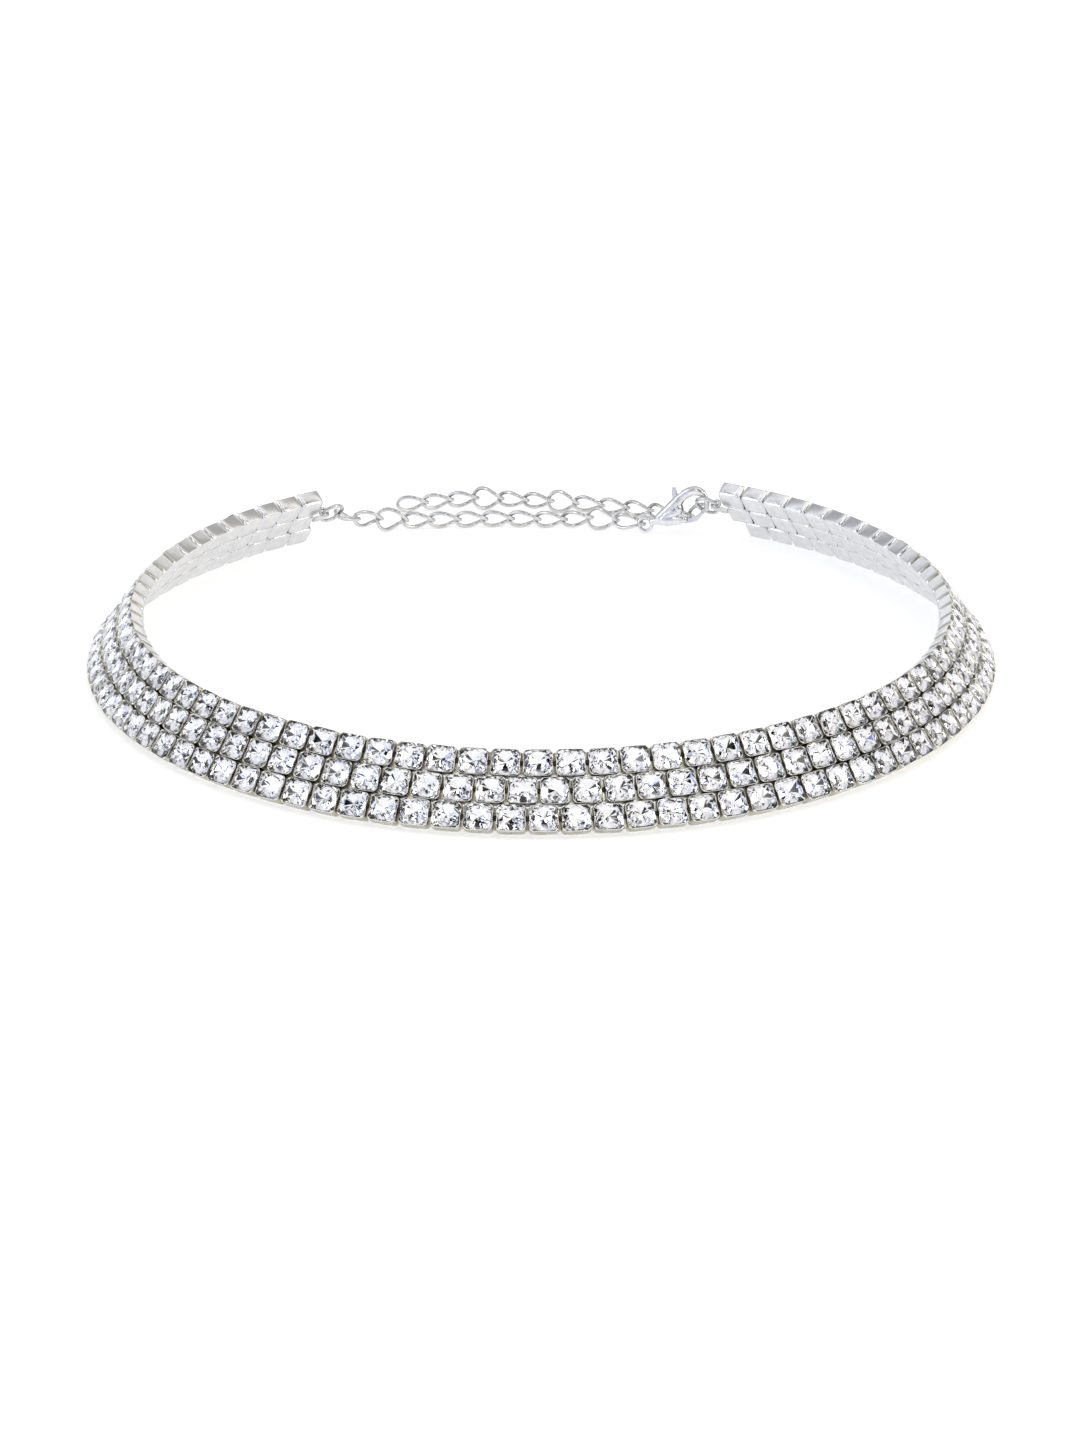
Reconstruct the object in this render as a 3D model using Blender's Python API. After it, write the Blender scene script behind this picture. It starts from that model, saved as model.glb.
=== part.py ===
"""Choker necklace of three rows of square cups with cut stones, closed by chain and a lobster clasp.

It lies on its lower edge as a flared ring. The origin is the centre of the neck opening, on the surface
that the ring rests on. +Z is up, -Y is the front and the chain is at the back. Lengths are in
millimetres, and MM turns them into metres.
"""
import math

import bmesh
import bpy
from mathutils import Matrix, Vector

MM = 0.001

# Band
NECK_RADIUS = 53.9
FLARE = math.radians(37.6)
CUP_WIDTH = 3.5
CUP_GAP = 0.3
CUP_HEIGHT = 3.2
CUP_DEPTH = 2.4
ROW_GAP = 0.29
JOINT_HEIGHT = 1.2
JOINT_DEPTH = 0.8

# Stones
STONE_RADIUS = 1.5
TABLE_RADIUS = 0.85
CROWN_HEIGHT = 0.5

# End plates, small tabs behind the first row gap, with an ear for a jump ring
PLATE_LENGTH = 1.5
PLATE_HEIGHT = 1.7
PLATE_THICKNESS = 0.45
PLATE_GAP = 0.3
PLATE_OVERHANG = 0.35
EAR_LENGTH = 1.5
EAR_THICKNESS = 0.45
EAR_DEPTH = 2.0
EAR_HOLE_RADIUS = 0.58

# Chain
RING_RADIUS = 1.75
RING_WIRE = 0.26
LINK_WIRE = 0.26
LINK_GAP = 0.24
LINK_PITCH = 3.95
LINK_HALF_WIDTH = 1.22
BIG_LINK_HALF_WIDTH = 1.85
WIRE_POINTS = 12

# Clasp, in its own plane: u from the eye towards the hook, v across it, and w through its thickness
EYE_RADIUS = 1.02
EYE_WIRE = 0.34
SLOT_WIDTH = 0.9
LEVER_THICKNESS = 0.5
PIN_RADIUS = 0.3
PIN_CLEARANCE = 0.15
PIN_LENGTH = 1.7
PIVOT = (5.5, -0.75)
RING_SEAT = (8.6, 1.28)
SLOT_REACH = (2.2, 1.2, 1.4, 4.6)
BOSS_RADIUS = 0.72
BOSS_TURNS = (115.0, 290.0)
BOSS_NOTCH = (10.0, 65.0)

# Cups in each row follow from the row's length. Azimuths are in degrees, and 270 is the front.
ROWS = (
    # name, course, first end, last end
    ("row_top", 0, 126.2, 421.1),
    ("row_middle", 1, 126.6, 420.6),
    ("row_bottom", 2, 125.7, 418.6),
)

ENDS = (
    # side, azimuth of the row's end, direction that leads away from the band, ring's turn downwards
    ("left", 126.2, -1, 22.0),
    ("right", 421.1, 1, 22.0),
)

# Chosen points between the two ends of each strand, where the chain lies
STRAND_ROUTE = [
    (-28.1, 50.5, 3.1), (-24.4, 52.8, 2.25), (-20.0, 54.1, 1.6), (-13.0, 54.9, 1.46),
    (-5.0, 55.3, 1.46), (3.0, 54.8, 1.48), (8.4, 53.7, 2.2), (12.8, 53.0, 1.7),
]
TAIL_ROUTE = [
    (23.8, 52.7, 2.9), (20.9, 56.2, 1.82), (17.2, 59.0, 1.48), (12.0, 60.9, 1.46), (6.6, 61.5, 1.72),
    (3.0, 61.6, 2.14), (-1.8, 62.4, 2.0), (-8.4, 63.4, 2.09), (-13.5, 63.4, 1.78), (-18.3, 62.8, 1.48),
    (-21.6, 62.2, 1.43),
]

# Big round links in each strand, by number from its ring
STRAND_BIG = (3, 11)
TAIL_BIG = (7, 10)

# Roll of a link's middle about the chain, in degrees: 0 lays its width level and 90 stands it upright
STRAND_ROLL = 115.0
TAIL_ROLL = 65.0

# Where the clasp's eye lies, and the way its flat side looks
CLASP_EYE = (15.85, 52.15, 1.7)
CLASP_FACING = (-0.26, -0.93, 0.27)

# Turn around the right ring, from its far side, at which the hook holds it
HOOK_TURN = math.radians(-52.0)

CLASP_HOOK = (
    # u, v, radius
    (2.3, 0.3, 0.75),
    (3.3, 0.75, 0.85),
    (4.4, 1.25, 0.95),
    (5.4, 1.75, 0.98),
    (6.4, 2.4, 0.82),
    (7.4, 2.75, 0.78),
    (8.4, 2.84, 0.76),
    (9.25, 2.55, 0.7),
    (9.8, 1.95, 0.58),
    (10.05, 1.2, 0.45),
    (10.05, 0.5, 0.42),
    (9.7, -0.35, 0.36),
)
CLASP_BODY = (
    # u, v, radius
    (1.0, 0.03, 0.45),
    (1.8, 0.02, 0.62),
    (2.8, -0.1, 0.92),
    (3.8, -0.35, 1.0),
    (4.7, -0.6, 0.95),
    (5.5, -0.75, 0.85),
    (6.0, -0.95, 0.7),
)
LEVER_ARM = (
    # u, v, half width
    (6.1, -1.2, 0.42),
    (7.0, -1.3, 0.36),
    (8.0, -1.15, 0.34),
    (9.0, -0.65, 0.27),
)
LEVER_TAB = (
    # u, v, half width
    (5.35, 1.8, 0.3),
    (5.6, 3.2, 0.42),
    (5.78, 4.2, 0.28),
)


def band_height():
    """Height of the band's inner top edge above the surface that the band rests on."""
    slope = len(ROWS) * CUP_HEIGHT + (len(ROWS) - 1) * ROW_GAP
    return slope * math.cos(FLARE)


def row_down(course):
    """Distance down the band's slope from its top edge to the top of a row."""
    return course * (CUP_HEIGHT + ROW_GAP)


def band_matrix(azimuth, down):
    """Place on the band's inner face: x along the row, y up its slope and z out of its face."""
    azimuth = math.radians(azimuth)
    outward = Vector((math.cos(azimuth), math.sin(azimuth), 0.0))
    along = Vector((-math.sin(azimuth), math.cos(azimuth), 0.0))
    upward = Vector((0.0, 0.0, 1.0))
    rise = upward * math.cos(FLARE) - outward * math.sin(FLARE)
    out = outward * math.cos(FLARE) + upward * math.sin(FLARE)
    place = outward * NECK_RADIUS + upward * band_height() - rise * down
    matrix = Matrix((along, rise, out)).transposed().to_4x4()
    matrix.translation = place
    return matrix


def collection(name):
    """New collection in the scene."""
    made = bpy.data.collections.new(name)
    bpy.context.scene.collection.children.link(made)
    return made


def material(name, colour, metallic, roughness):
    """Principled material for one kind of part."""
    made = bpy.data.materials.new(name)
    made.use_nodes = True
    shader = made.node_tree.nodes["Principled BSDF"]
    shader.inputs["Base Color"].default_value = (*colour, 1.0)
    shader.inputs["Metallic"].default_value = metallic
    shader.inputs["Roughness"].default_value = roughness
    made.diffuse_color = (*colour, 1.0)
    return made


def add_object(name, data, group, materials=()):
    """Object in a collection, with its materials."""
    made = bpy.data.objects.new(name, data)
    for item in materials:
        data.materials.append(item)
    group.objects.link(made)
    return made


def scaled(points):
    """Points in metres."""
    return [Vector(point) * MM for point in points]


def join_loops(mesh, first, second):
    """Quads between two loops of as many corners."""
    for k in range(len(first)):
        after = (k + 1) % len(first)
        mesh.faces.new((first[k], first[after], second[after], second[k]))


def join_square_to_octagon(mesh, square, octagon, slot):
    """Triangles at a square's corners and quads along its sides, out to an octagon."""
    for k in range(4):
        after = (k + 1) % 4
        corner = mesh.faces.new((square[k], octagon[2 * k], octagon[2 * k + 1]))
        side = mesh.faces.new((square[k], octagon[2 * k + 1], octagon[2 * after], square[after]))
        corner.material_index = slot
        side.material_index = slot


def corners(mesh, matrix, x, low, high, near, far):
    """Rectangle across the row at x, between two heights on the slope and two depths."""
    places = ((x, low, near), (x, high, near), (x, high, far), (x, low, far))
    return [mesh.verts.new(matrix @ Vector(place) * MM) for place in places]


def polygon(mesh, matrix, centre, radius, angles, out):
    """Corners at the given angles, in degrees, around a centre on the slope."""
    places = []
    for angle in angles:
        turn = math.radians(angle)
        place = Vector((centre[0] + radius * math.cos(turn), centre[1] + radius * math.sin(turn), out))
        places.append(mesh.verts.new(matrix @ place * MM))
    return places


def stone(mesh, matrix, rim):
    """Cut stone in a cup's front: a girdle of eight, eight facets and a square table."""
    middle = (0.0, -CUP_HEIGHT / 2)
    turns = [45.0 + 90.0 * k for k in range(4)]
    girdle_turns = [turn + part for turn in turns for part in (-22.5, 22.5)]
    girdle = polygon(mesh, matrix, middle, STONE_RADIUS, girdle_turns, CUP_DEPTH)
    table = polygon(mesh, matrix, middle, TABLE_RADIUS, turns, CUP_DEPTH + CROWN_HEIGHT)
    join_square_to_octagon(mesh, rim, girdle, 0)
    join_square_to_octagon(mesh, table, girdle, 1)
    mesh.faces.new(table).material_index = 1


def row_mesh(course, first, last):
    """Cups side by side along the row, each joined to the next at a small soldered neck."""
    mesh = bmesh.new()
    down = row_down(course)
    radius = NECK_RADIUS + down * math.sin(FLARE)
    cups = round(math.radians(last - first) * radius / (CUP_WIDTH + CUP_GAP))
    step = (last - first) / cups
    joint = (-(CUP_HEIGHT + JOINT_HEIGHT) / 2, -(CUP_HEIGHT - JOINT_HEIGHT) / 2,
             (CUP_DEPTH - JOINT_DEPTH) / 2, (CUP_DEPTH + JOINT_DEPTH) / 2)
    neck = None
    for k in range(cups):
        matrix = band_matrix(first + (k + 0.5) * step, down)
        left = corners(mesh, matrix, -CUP_WIDTH / 2, -CUP_HEIGHT, 0.0, 0.0, CUP_DEPTH)
        right = corners(mesh, matrix, CUP_WIDTH / 2, -CUP_HEIGHT, 0.0, 0.0, CUP_DEPTH)
        if neck:
            join_loops(mesh, neck, left)
        else:
            mesh.faces.new(left)
        for low, high in ((0, 1), (1, 2), (3, 0)):
            mesh.faces.new((left[low], left[high], right[high], right[low]))
        stone(mesh, matrix, (right[2], left[2], left[3], right[3]))
        if k < cups - 1:
            neck = corners(mesh, band_matrix(first + (k + 1) * step, down), 0.0, *joint)
            join_loops(mesh, right, neck)
        else:
            mesh.faces.new(right)
    bmesh.ops.recalc_face_normals(mesh, faces=mesh.faces)
    return mesh


def finish_mesh(name, mesh):
    """Mesh data from a bmesh, which is freed."""
    data = bpy.data.meshes.new(name)
    mesh.to_mesh(data)
    mesh.free()
    return data


def box_data(name, low, high):
    """Box between two corners in millimetres."""
    mesh = bmesh.new()
    bmesh.ops.create_cube(mesh, size=1.0)
    low, high = Vector(low) * MM, Vector(high) * MM
    size = high - low
    bmesh.ops.scale(mesh, vec=size, verts=mesh.verts)
    bmesh.ops.translate(mesh, vec=(low + high) / 2, verts=mesh.verts)
    return finish_mesh(name, mesh)


def cylinder_data(name, radius, length, matrix, sides=12):
    """Cylinder about the matrix's z axis, centred on its origin, which is in millimetres."""
    mesh = bmesh.new()
    bmesh.ops.create_cone(mesh, cap_ends=True, segments=sides, radius1=radius * MM,
                          radius2=radius * MM, depth=length * MM)
    place = matrix.copy()
    place.translation = matrix.translation * MM
    bmesh.ops.transform(mesh, matrix=place, verts=mesh.verts)
    return finish_mesh(name, mesh)


def boolean(target, operand, operation):
    """Boolean modifier whose other shape is kept as a hidden guide."""
    operand.hide_render = True
    operand.display_type = "WIRE"
    modifier = target.modifiers.new(operand.name, "BOOLEAN")
    modifier.operation = operation
    modifier.object = operand
    modifier.solver = "EXACT"


def in_metres(matrix):
    """Matrix whose place is turned from millimetres into metres."""
    made = matrix.copy()
    made.translation = matrix.translation * MM
    return made


def end_matrix(azimuth, away):
    """Place at a row's end, at the top of the band, with x leading away from the band."""
    matrix = band_matrix(azimuth, 0.0)
    return matrix @ Matrix.Diagonal((away, 1.0, 1.0, 1.0))


def ear_hole():
    """Centre of an end plate's hole, in the end's own axes."""
    x = PLATE_OVERHANG + EAR_LENGTH / 2
    y = -(CUP_HEIGHT + ROW_GAP / 2)
    z = -(PLATE_GAP + PLATE_THICKNESS) + EAR_DEPTH / 2
    return Vector((x, y, z))


def make_end_plate(side, azimuth, away, group, guides, metal):
    """Plate behind the ends of two rows, with an ear that sticks out level with the gap between them."""
    inner = -(PLATE_GAP + PLATE_THICKNESS)
    hole = ear_hole()
    half = EAR_THICKNESS / 2
    plate = add_object("end_plate_" + side, box_data(
        "end_plate_" + side,
        (-PLATE_LENGTH, hole.y - PLATE_HEIGHT / 2, inner),
        (PLATE_OVERHANG, hole.y + PLATE_HEIGHT / 2, inner + PLATE_THICKNESS)), group, (metal,))
    ear = add_object("ear_" + side, box_data(
        "ear_" + side,
        (PLATE_OVERHANG / 2, hole.y - half, inner + PLATE_THICKNESS / 3),
        (PLATE_OVERHANG + EAR_LENGTH, hole.y + half, inner + EAR_DEPTH)), guides)
    upright = Matrix.Translation(hole) @ Matrix.Rotation(math.pi / 2, 4, "X")
    cutter = add_object("ear_hole_" + side, cylinder_data(
        "ear_hole_" + side, EAR_HOLE_RADIUS, EAR_THICKNESS * 3, upright), guides)
    for item in (plate, ear, cutter):
        if away < 0:
            item.data.transform(Matrix.Diagonal((-1.0, 1.0, 1.0, 1.0)))
            item.data.flip_normals()
        item.matrix_world = in_metres(band_matrix(azimuth, 0.0))
    boolean(plate, ear, "UNION")
    boolean(plate, cutter, "DIFFERENCE")


def wire_curve(name, points, wire, closed, radii=None):
    """Wire with six sides along a list of points in millimetres, or eight where its radii are given."""
    curve = bpy.data.curves.new(name, "CURVE")
    curve.dimensions = "3D"
    curve.bevel_depth = wire * MM
    curve.bevel_resolution = 2 if radii else 1
    curve.use_fill_caps = True
    spline = curve.splines.new("POLY")
    spline.points.add(len(points) - 1)
    for k, point in enumerate(scaled(points)):
        spline.points[k].co = (*point, 1.0)
        spline.points[k].radius = radii[k] / wire if radii else 1.0
    spline.use_cyclic_u = closed
    return curve


def circle_points(radius):
    """Points around a wire ring in its own plane, with a flat at its near and far ends."""
    turns = [2 * math.pi * (k + 0.5) / WIRE_POINTS for k in range(WIRE_POINTS)]
    return [(radius * math.cos(turn), radius * math.sin(turn), 0.0) for turn in turns]


def ring_matrix(azimuth, away, turn):
    """Place of a jump ring that hangs in an ear: x leads from the ear to the ring's far side."""
    end = end_matrix(azimuth, away)
    hole = end @ ear_hole()
    along = end.to_3x3().col[0]
    fall = -end.to_3x3().col[1]
    lead = along * math.cos(turn) + fall * math.sin(turn)
    side = fall * math.cos(turn) - along * math.sin(turn)
    matrix = Matrix((lead, side, lead.cross(side))).transposed().to_4x4()
    matrix.translation = hole + lead * RING_RADIUS
    return matrix


def hooked_place(matrix, radius, wire, target):
    """Where a chain that leads to a target takes hold inside a ring, next to the ring's wire."""
    local = matrix.inverted() @ target
    lead = Vector((local.x, local.y, 0.0)).normalized()
    return matrix @ (lead * (radius - wire - LINK_GAP / 2))


def smooth_route(points, steps=24):
    """Close points on a smooth curve through the route's own points."""
    ends = [2 * points[0] - points[1], *points, 2 * points[-1] - points[-2]]
    line = []
    for k in range(1, len(ends) - 2):
        before, start, stop, after = ends[k - 1:k + 3]
        for step in range(steps):
            t = step / steps
            line.append(0.5 * (2 * start + (stop - before) * t
                               + (2 * before - 5 * start + 4 * stop - after) * t ** 2
                               + (3 * start - before - 3 * stop + after) * t ** 3))
    line.append(points[-1])
    return line


def evenly(line, count):
    """Places that divide a line into as many equal lengths."""
    lengths = [0.0]
    for first, second in zip(line, line[1:]):
        lengths.append(lengths[-1] + (second - first).length)
    places = []
    k = 0
    for number in range(count + 1):
        want = lengths[-1] * number / count
        while k < len(line) - 2 and lengths[k + 1] < want:
            k += 1
        part = (want - lengths[k]) / (lengths[k + 1] - lengths[k])
        places.append(line[k].lerp(line[k + 1], part))
    return places


def link_matrix(start, stop):
    """Place of a link between two joints: x along the chain, y level and z upwards."""
    lead = (stop - start).normalized()
    level = Vector((0.0, 0.0, 1.0)).cross(lead).normalized()
    matrix = Matrix((lead, level, lead.cross(level))).transposed().to_4x4()
    matrix.translation = (start + stop) / 2
    return matrix


def roll_of(matrix, direction):
    """Angle about the chain, in degrees, of a direction across it."""
    local = matrix.to_3x3().inverted() @ direction
    return math.degrees(math.atan2(local.z, local.y))


def nearest_half_turn(angle, target):
    """The angle, or the same line the other way round, that is nearest to a target."""
    return angle + 180.0 * round((target - angle) / 180.0)


def link_rolls(count, middle, first, last):
    """Near and far roll of each link. Ends that meet stand at right angles, so that they interlock."""
    rolls = []
    near = first
    for number in range(1, count + 1):
        if number == 1:
            far = nearest_half_turn(middle + 45.0, near)
        elif number == count and last is not None:
            far = nearest_half_turn(last, near)
        else:
            far = 2 * middle - near
        rolls.append((near, far))
        near = (far + 90.0) % 180.0
    return rolls


def link_points(span, half_width, near, far):
    """Oval wire link along x, whose width turns from its near roll to its far roll."""
    half_turn = math.pi / WIRE_POINTS
    length = (span / 2 + LINK_WIRE + LINK_GAP / 2) / math.cos(half_turn)
    points = []
    for k in range(WIRE_POINTS):
        turn = 2 * half_turn * (k + 0.5)
        x = length * math.cos(turn)
        width = half_width * math.sin(turn)
        roll = math.radians((near + far) / 2 + (far - near) / 2 * math.cos(turn))
        points.append((x, width * math.cos(roll), width * math.sin(roll)))
    return points


def make_strand(prefix, line, big, middle, normals, group, metal):
    """Links along a line. The normals are of the rings at its ends, or None where an end is free."""
    length = sum((second - first).length for first, second in zip(line, line[1:]))
    count = round(length / LINK_PITCH)
    joints = evenly(line, count)
    matrices = [link_matrix(first, second) for first, second in zip(joints, joints[1:])]
    first = roll_of(matrices[0], normals[0])
    last = roll_of(matrices[-1], normals[1]) if normals[1] else None
    rolls = link_rolls(count, middle, first, last)
    for number, (matrix, (near, far)) in enumerate(zip(matrices, rolls), 1):
        span = (joints[number] - joints[number - 1]).length
        half_width = BIG_LINK_HALF_WIDTH if number in big else LINK_HALF_WIDTH
        name = f"{prefix}_{number:02d}"
        curve = wire_curve(name, link_points(span, half_width, near, far), LINK_WIRE, True)
        add_object(name, curve, group, (metal,)).matrix_world = in_metres(matrix)


def clasp_matrix(ring):
    """Place of the clasp, whose hook holds the right ring and whose eye lies near the surface."""
    held = ring @ Vector((RING_RADIUS * math.cos(HOOK_TURN), RING_RADIUS * math.sin(HOOK_TURN), 0.0))
    seat = Vector((*RING_SEAT, 0.0))
    lead = (held - Vector(CLASP_EYE)).normalized()
    facing = Vector(CLASP_FACING)
    facing = (facing - lead * facing.dot(lead)).normalized()
    along = Matrix.Rotation(-math.atan2(seat.y, seat.x), 3, facing) @ lead
    matrix = Matrix((along, facing.cross(along), facing)).transposed().to_4x4()
    matrix.translation = held - matrix.to_3x3() @ seat
    return matrix


def solid_tube(name, table, group):
    """Closed mesh of a tube through points with radii, all in the clasp's plane."""
    points = [(u, v, 0.0) for u, v, _ in table]
    curve = wire_curve(name, points, 1.0, False, [radius for _, _, radius in table])
    source = add_object(name + "_curve", curve, group)
    return mesh_copy(name, source, group)


def mesh_copy(name, source, group):
    """Welded mesh of a curve object, which is removed."""
    bpy.context.view_layer.update()
    graph = bpy.context.evaluated_depsgraph_get()
    data = bpy.data.meshes.new_from_object(source.evaluated_get(graph))
    mesh = bmesh.new()
    mesh.from_mesh(data)
    bmesh.ops.remove_doubles(mesh, verts=mesh.verts, dist=0.00001)
    bmesh.ops.recalc_face_normals(mesh, faces=mesh.faces)
    mesh.to_mesh(data)
    mesh.free()
    made = add_object(name, data, group)
    made.matrix_world = source.matrix_world
    bpy.data.objects.remove(source)
    return made


def make_clasp_body(matrix, group, guides, metal):
    """Cast body with its hook, eye and pin, slotted for the lever."""
    body = solid_tube("clasp_body", CLASP_BODY, group)
    body.data.materials.append(metal)
    hook = solid_tube("clasp_hook", CLASP_HOOK, guides)
    eye_curve = add_object("eye_curve", wire_curve(
        "clasp_eye", circle_points(EYE_RADIUS), EYE_WIRE, True), guides)
    eye = mesh_copy("clasp_eye", eye_curve, guides)
    slot = add_object("lever_slot", box_data(
        "lever_slot",
        (PIVOT[0] - SLOT_REACH[0], PIVOT[1] - SLOT_REACH[2], -SLOT_WIDTH / 2),
        (PIVOT[0] + SLOT_REACH[1], PIVOT[1] + SLOT_REACH[3], SLOT_WIDTH / 2)), guides)
    pin = add_object("lever_pin", cylinder_data(
        "lever_pin", PIN_RADIUS, PIN_LENGTH, Matrix.Translation((*PIVOT, 0.0))), guides)
    for item in (body, hook, eye, slot, pin):
        item.matrix_world = in_metres(matrix)
    boolean(body, hook, "UNION")
    boolean(body, eye, "UNION")
    boolean(body, slot, "DIFFERENCE")
    boolean(body, pin, "UNION")


def offset_side(table, sign):
    """Points beside a table's line, its half width away, to its left for 1 and its right for -1."""
    side = []
    for k, (u, v, half_width) in enumerate(table):
        before = Vector(table[max(k - 1, 0)][:2])
        after = Vector(table[min(k + 1, len(table) - 1)][:2])
        lead = (after - before).normalized()
        side.append(Vector((u, v)) + Vector((-lead.y, lead.x)) * half_width * sign)
    return side


def boss_points(start, stop, count):
    """Points around the pivot between two angles in degrees, from one to the other."""
    turns = [math.radians(start + (stop - start) * k / (count - 1)) for k in range(count)]
    return [Vector(PIVOT) + Vector((math.cos(t), math.sin(t))) * BOSS_RADIUS for t in turns]


def lever_outline():
    """Outline of the lever: the boss, the gate arm that closes the hook, and the thumb tab."""
    outline = boss_points(*BOSS_TURNS, 7)
    outline += offset_side(LEVER_ARM, -1)
    outline += reversed(offset_side(LEVER_ARM, 1))
    outline += boss_points(*BOSS_NOTCH, 3)
    outline += offset_side(LEVER_TAB, -1)
    outline += reversed(offset_side(LEVER_TAB, 1))
    return outline


def make_lever(matrix, group, metal):
    """Lever in the body's slot. Its origin is on the pivot."""
    curve = bpy.data.curves.new("clasp_lever", "CURVE")
    curve.dimensions = "2D"
    curve.fill_mode = "BOTH"
    curve.extrude = LEVER_THICKNESS / 2 * MM
    pivot = Vector(PIVOT)
    hole = [pivot + Vector((math.cos(t), math.sin(t))) * (PIN_RADIUS + PIN_CLEARANCE)
            for t in [2 * math.pi * k / WIRE_POINTS for k in range(WIRE_POINTS)]]
    for points in (lever_outline(), hole):
        spline = curve.splines.new("POLY")
        spline.points.add(len(points) - 1)
        spline.use_cyclic_u = True
        for k, point in enumerate(points):
            place = (point - pivot) * MM
            spline.points[k].co = (place.x, place.y, 0.0, 1.0)
    lever = add_object("clasp_lever", curve, group, (metal,))
    lever.matrix_world = in_metres(matrix @ Matrix.Translation((*PIVOT, 0.0)))


def main():
    """Build the necklace."""
    for item in list(bpy.data.objects):
        bpy.data.objects.remove(item, do_unlink=True)
    group = collection("choker_necklace")
    guides = collection("cutters")
    silver = material("silver_plate", (0.86, 0.86, 0.87), 1.0, 0.18)
    crystal = material("crystal", (0.9, 0.92, 0.96), 0.0, 0.05)
    chain = material("chain_silver", (0.84, 0.84, 0.85), 1.0, 0.2)

    for name, course, first, last in ROWS:
        mesh = row_mesh(course, first, last)
        add_object(name, finish_mesh(name, mesh), group, (silver, crystal))

    rings = {}
    for side, azimuth, away, turn in ENDS:
        make_end_plate(side, azimuth, away, group, guides, silver)
        rings[side] = ring_matrix(azimuth, away, math.radians(turn))
        name = "jump_ring_" + side
        ring = wire_curve(name, circle_points(RING_RADIUS), RING_WIRE, True)
        add_object(name, ring, group, (chain,)).matrix_world = in_metres(rings[side])

    clasp = clasp_matrix(rings["right"])
    make_clasp_body(clasp, group, guides, chain)
    make_lever(clasp, group, chain)

    route = [Vector(point) for point in STRAND_ROUTE]
    start = hooked_place(rings["left"], RING_RADIUS, RING_WIRE, route[0])
    stop = hooked_place(clasp, EYE_RADIUS, EYE_WIRE, route[-1])
    normals = (rings["left"].to_3x3().col[2], clasp.to_3x3().col[2])
    line = smooth_route([start, *route, stop])
    make_strand("link", line, STRAND_BIG, STRAND_ROLL, normals, group, chain)

    route = [Vector(point) for point in TAIL_ROUTE]
    start = hooked_place(rings["right"], RING_RADIUS, RING_WIRE, route[0])
    normals = (rings["right"].to_3x3().col[2], None)
    line = smooth_route([start, *route])
    make_strand("tail_link", line, TAIL_BIG, TAIL_ROLL, normals, group, chain)


main()
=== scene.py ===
"""Looks of the choker necklace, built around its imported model.

Lengths are in millimetres and MM turns them into metres, the unit of the shared frame. The band's, links'
and clasp's measures repeat those of the model, so that each fine piece lies where its solid does.
"""
import math
import random

import bmesh
import bpy
from mathutils import Matrix, Vector

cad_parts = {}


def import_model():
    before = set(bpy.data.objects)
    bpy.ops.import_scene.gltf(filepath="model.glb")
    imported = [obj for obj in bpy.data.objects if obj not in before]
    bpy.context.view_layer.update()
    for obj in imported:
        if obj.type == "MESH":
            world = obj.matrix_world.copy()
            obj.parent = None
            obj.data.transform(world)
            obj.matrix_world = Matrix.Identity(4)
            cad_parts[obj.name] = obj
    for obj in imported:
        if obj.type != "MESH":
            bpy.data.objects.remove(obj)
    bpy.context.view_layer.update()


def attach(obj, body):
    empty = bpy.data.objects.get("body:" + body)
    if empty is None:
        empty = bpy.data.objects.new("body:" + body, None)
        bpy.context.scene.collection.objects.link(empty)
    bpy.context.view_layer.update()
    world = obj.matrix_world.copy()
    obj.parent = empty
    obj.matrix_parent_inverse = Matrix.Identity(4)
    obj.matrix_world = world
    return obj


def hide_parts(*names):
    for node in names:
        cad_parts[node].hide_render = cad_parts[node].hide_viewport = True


MM = 0.001

# Band, as in the model
NECK_RADIUS = 53.9
FLARE = math.radians(37.6)
CUP_WIDTH = 3.5
CUP_GAP = 0.3
CUP_HEIGHT = 3.2
ROW_GAP = 0.29
ROWS = (
    # name, course from the top, azimuths of both ends
    ("top", 0, 126.2, 421.1),
    ("middle", 1, 126.6, 420.6),
    ("bottom", 2, 125.7, 418.6),
)
ENDS = (
    # side, azimuth of the rows' ends, direction that leads away from the band, ring's turn downwards
    ("left", 126.2, -1, 22.0),
    ("right", 421.1, 1, 22.0),
)

# End plates and rings, as in the model
PLATE_LENGTH = 1.5
PLATE_THICKNESS = 0.45
PLATE_GAP = 0.3
PLATE_OVERHANG = 0.35
EAR_LENGTH = 1.5
EAR_DEPTH = 2.0
RING_RADIUS = 1.75
RING_WIRE = 0.26

# Tab with an eye, in place of an end plate and its ear
EYE_HALF_X = 0.58
EYE_HALF_Z = 0.72
EYE_ROD = 0.24
TAB_WIDTHS = (0.55, 0.68, 0.75, 0.78, 0.78, 0.72, 0.6, 0.46, 0.34)
TAB_SIDES = 20
TAB_SQUEEZE = 0.7
TAB_PAST_EDGE = 0.1

# Chain, as in the model
LINK_WIRE = 0.26
LINK_GAP = 0.24
LINK_PITCH = 3.95
LINK_HALF_WIDTH = 1.22
BIG_LINK_HALF_WIDTH = 1.85
STRAND_ROUTE = [
    (-28.1, 50.5, 3.1), (-24.4, 52.8, 2.25), (-20.0, 54.1, 1.6), (-13.0, 54.9, 1.46),
    (-5.0, 55.3, 1.46), (3.0, 54.8, 1.48), (8.4, 53.7, 2.2), (12.8, 53.0, 1.7),
]
TAIL_ROUTE = [
    (23.8, 52.7, 2.9), (20.9, 56.2, 1.82), (17.2, 59.0, 1.48), (12.0, 60.9, 1.46), (6.6, 61.5, 1.72),
    (3.0, 61.6, 2.14), (-1.8, 62.4, 2.0), (-8.4, 63.4, 2.09), (-13.5, 63.4, 1.78), (-18.3, 62.8, 1.48),
    (-21.6, 62.2, 1.43),
]
STRAND_BIG = (3, 11)
TAIL_BIG = (7, 10)
STRAND_ROLL = 115.0
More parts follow.
